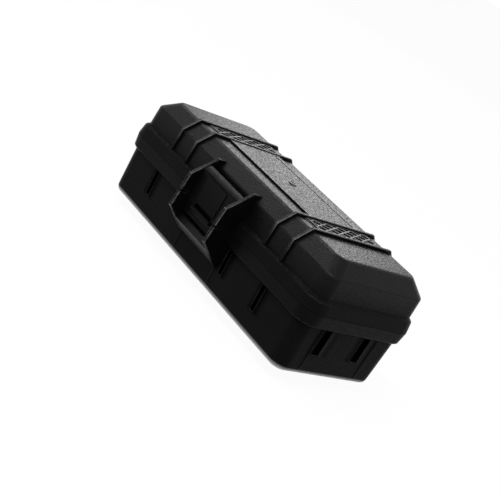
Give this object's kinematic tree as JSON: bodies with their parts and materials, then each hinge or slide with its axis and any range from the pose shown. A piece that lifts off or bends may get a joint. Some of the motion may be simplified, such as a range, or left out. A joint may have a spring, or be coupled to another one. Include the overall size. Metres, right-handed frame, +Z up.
{
  "type": "micrometer case",
  "caption": "Small rectangular hard plastic case with a hinged ribbed lid, a front lever latch between guard cheeks and a foam pocket for a micrometer.",
  "frame": {"origin": "centre of the flat underside of the foot plate, below the middle of the moulded body", "axes": "+X along the length, +Y from the latch towards the hinges, +Z up through the lid"},
  "size_m": [0.155, 0.0833, 0.06],
  "materials": {
    "shell_plastic": "satin with a fine moulded grain",
    "latch_plastic": "satin, smoother than the shells",
    "tread_plastic": "raised lozenge tread",
    "seal_rubber": "matte",
    "pin_steel": "drawn wire",
    "base_foam": "closed-cell foam, matte",
    "lid_foam": "open-cell egg-crate foam, matte"
  },
  "bodies": {
    "base": {"base_shell": "shell_plastic", "foam_floor": "base_foam", "foam_tray": "base_foam", "hinge_pin_left": "pin_steel", "hinge_pin_right": "pin_steel"},
    "lid": {"lid_shell": "shell_plastic", "rim_seal": "seal_rubber", "tread_strip_left": "tread_plastic", "tread_strip_right": "tread_plastic", "lid_foam": "lid_foam", "latch_pin": "pin_steel"},
    "latch": {"latch_lever": "latch_plastic"}
  },
  "joints": [
    {"name": "lid_hinge", "type": "hinge", "parent": "base", "child": "lid", "pos_m": [0, 0.0353, 0.0356], "axis": [-1, 0, 0], "range_deg": [0, 110]},
    {"name": "latch_pivot", "type": "hinge", "parent": "lid", "child": "latch", "pos_m": [0, -0.0372, 0.0474], "axis": [-1, 0, 0], "range_deg": [0, 110]}
  ]
}
